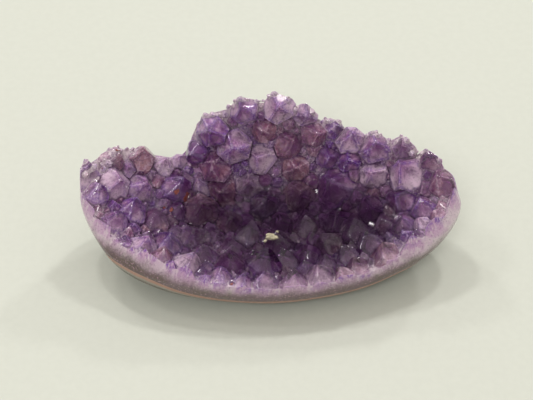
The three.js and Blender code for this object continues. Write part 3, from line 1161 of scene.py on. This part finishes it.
class CLUSTER_OT_milk(Step, bpy.types.Operator):
    """Make the milky quartz that is sealed in the crystals"""

    bl_idname = "cluster.milk"
    bl_label = "Milky quartz"

    def execute(self, context):
        look = context.scene.cluster_crystals
        hearts = grow(Draws(SEED), False)
        for heart in hearts:
            heart.radius *= MILK_RADIUS
            heart.height *= MILK_HEIGHT

        def low(angle, share):
            return rock_top(angle, share) + MILK_RAISED

        def high(angle, share):
            return max(quartz_top(angle, share) - MILK_SUNK, low(angle, share) + MILK_THINNEST)

        floor = ROCK_FLOOR + MILK_RAISED
        piece = layer("milk", low, high, floor, HOLLOW_FLOOR - MILK_SUNK, MILK_AROUND)
        piece = joined("milky_quartz", piece, hearts, MILK_WEAR)
        inset = ground_shape(MILK_AROUND)
        shrink = Matrix.Diagonal((1 - MILK_INSET / LENGTH * 2, 1 - MILK_INSET / FRONT_DEPTH, 1, 1))
        inset.data.transform(shrink)
        below = layer("below", deep_down, low, -TOP, floor, MILK_AROUND)
        trim(piece, below, inset)
        mark_crystals(piece, hearts, len(hearts))
        dress(piece, SOFT_ANGLE, milky_material(look))
        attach(piece, "root")
        return {"FINISHED"}


class CLUSTER_OT_rock(Step, bpy.types.Operator):
    """Make the skin of host rock under the quartz"""

    bl_idname = "cluster.rock"
    bl_label = "Host rock"

    def execute(self, context):
        look = context.scene.cluster_rock
        around = context.scene.cluster_crystals.around
        gap = look.gap / MM

        def top(angle, share):
            return rock_top(angle, share) - gap

        piece = layer("rock_skin", deep_down, top, -TOP, ROCK_FLOOR - gap, around)
        combine(piece, ground_shape(around), "INTERSECT")
        keep_largest(piece)
        places = [v.co / MM for v in piece.data.vertices]
        depth = [rock_top(*polar(p.x, p.y)) - p.z for p in places]
        write_attribute(piece.data, "depth", "POINT", depth)
        dress(piece, SOFT_ANGLE, rock_material(look))
        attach(piece, "root")
        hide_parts("host_rock")
        return {"FINISHED"}


class CLUSTER_OT_flakes(Step, bpy.types.Operator):
    """Lay the iron stain on and in the crystals"""

    bl_idname = "cluster.flakes"
    bl_label = "Iron stain"

    def execute(self, context):
        look = context.scene.cluster_rock
        draws = Draws(SEED)
        built = bmesh.new()
        for x, y, radius, under in FLAKES:
            at, facing = landing(bpy.data.objects["amethyst_cluster"], x, y)
            add_flake(built, at - facing * under, facing, radius, draws)
        piece = built_object("iron_flakes", built)
        dress(piece, FLAKE_ANGLE, grained_material("iron_stain", look.iron, look.iron_dark))
        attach(piece, "root")
        return {"FINISHED"}


class CLUSTER_OT_crumbs(Step, bpy.types.Operator):
    """Drop the loose grains of calcite into the hollow"""

    bl_idname = "cluster.crumbs"
    bl_label = "Calcite grains"

    def execute(self, context):
        look = context.scene.cluster_rock
        draws = Draws(SEED)
        built = bmesh.new()
        for x, y, radius in CRUMBS:
            at, _ = landing(bpy.data.objects["amethyst_cluster"], x, y)
            add_crumb(built, at + Vector((0, 0, radius * CRUMB_UP)), radius, draws)
        piece = built_object("calcite_grains", built)
        dress(piece, GRAIN_ANGLE, grained_material("calcite", look.calcite, look.calcite_dark))
        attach(piece, "root")
        return {"FINISHED"}


# Round lights: name, direction from the cluster, distance, width and power.
LIGHTS = [
    ("light_right_behind", (0.30, 0.42, 1.0), 1.3, 0.12, 2.9),
    ("light_left_behind", (-0.24, 0.34, 1.0), 1.3, 0.12, 2.3),
    ("light_left", (-0.62, 0.12, 1.0), 1.4, 0.2, 1.4),
    ("light_window", (0.66, 0.9, 0.85), 1.5, 0.16, 3.0),
    ("light_far_window", (-0.5, 0.65, 0.9), 1.5, 0.16, 2.0),
    ("light_front", (-0.25, -0.9, 1.0), 1.4, 0.35, 4.5),
]
LIGHT_COLOUR = (1.0, 0.99, 0.96)
AIM = (-0.0014, 0, 0.0220)  # the camera looks this far above this place, in metres
AIM_ABOVE = 0.00706
SENSOR = 36  # width in millimetres
FLOOR_SIDE = 8  # metres


class CLUSTER_OT_stage(Step, bpy.types.Operator):
    """Lay the floor, hang the lights and place the camera"""

    bl_idname = "cluster.stage"
    bl_label = "Floor, light and camera"

    def execute(self, context):
        scene = context.scene
        look = scene.cluster_stage
        mesh = bpy.data.meshes.new("floor")
        half = FLOOR_SIDE / 2
        corners = [(-half, -half, 0), (half, -half, 0), (half, half, 0), (-half, half, 0)]
        mesh.from_pydata(corners, [], [(0, 1, 2, 3)])
        floor = new_object("floor", mesh)
        mesh.materials.append(grained_material("floor", look.floor, look.floor_grain))
        for name, direction, distance, side, power in LIGHTS:
            data = bpy.data.lights.new(name, "AREA")
            data.shape = "DISK"
            data.size = side
            data.energy = power
            data.color = LIGHT_COLOUR
            lamp = new_object(name, data)
            way = Vector(direction).normalized()
            lamp.location = way * distance
            lamp.rotation_euler = way.to_track_quat("Z", "Y").to_euler()
        scene.world = studio_world(look)
        scene.view_settings.view_transform = "Standard"
        data = bpy.data.cameras.new("camera")
        data.lens = look.lens
        data.sensor_width = SENSOR
        camera = new_object("camera", data)
        back = Vector((0, -math.cos(look.elevation), math.sin(look.elevation)))
        up = Vector((0, math.sin(look.elevation), math.cos(look.elevation)))
        camera.location = Vector(AIM) + up * AIM_ABOVE + back * look.distance
        camera.rotation_euler = back.to_track_quat("Z", "Y").to_euler()
        scene.camera = camera
        return {"FINISHED"}


class CLUSTER_PT_panel(bpy.types.Panel):
    """Lists the cluster's steps and settings"""

    bl_idname = "CLUSTER_PT_panel"
    bl_label = "Amethyst Cluster"
    bl_space_type = "VIEW_3D"
    bl_region_type = "UI"
    bl_category = "Cluster"

    def draw(self, context):
        scene = context.scene
        for operator in OPERATORS:
            self.layout.operator(operator.bl_idname)
        for name in SETTINGS:
            box = self.layout.box()
            group = getattr(scene, name)
            for key in group.bl_rna.properties.keys():
                if key not in {"rna_type", "name"}:
                    box.prop(group, key)


OPERATORS = (
    CLUSTER_OT_crystals,
    CLUSTER_OT_milk,
    CLUSTER_OT_flakes,
    CLUSTER_OT_crumbs,
    CLUSTER_OT_rock,
    CLUSTER_OT_stage,
)
SETTINGS = {
    "cluster_crystals": CrystalSettings,
    "cluster_rock": RockSettings,
    "cluster_stage": StageSettings,
}
CLASSES = (*SETTINGS.values(), *OPERATORS, CLUSTER_PT_panel)


def register():
    for cls in CLASSES:
        bpy.utils.register_class(cls)
    for name, group in SETTINGS.items():
        setattr(bpy.types.Scene, name, PointerProperty(type=group))


def unregister():
    for name in SETTINGS:
        delattr(bpy.types.Scene, name)
    for cls in reversed(CLASSES):
        bpy.utils.unregister_class(cls)


def main():
    register()
    bpy.ops.cluster.crystals()
    bpy.ops.cluster.milk()
    bpy.ops.cluster.flakes()
    bpy.ops.cluster.crumbs()
    bpy.ops.cluster.rock()
    bpy.ops.cluster.stage()
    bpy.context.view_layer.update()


if __name__ == "__main__":
    main()
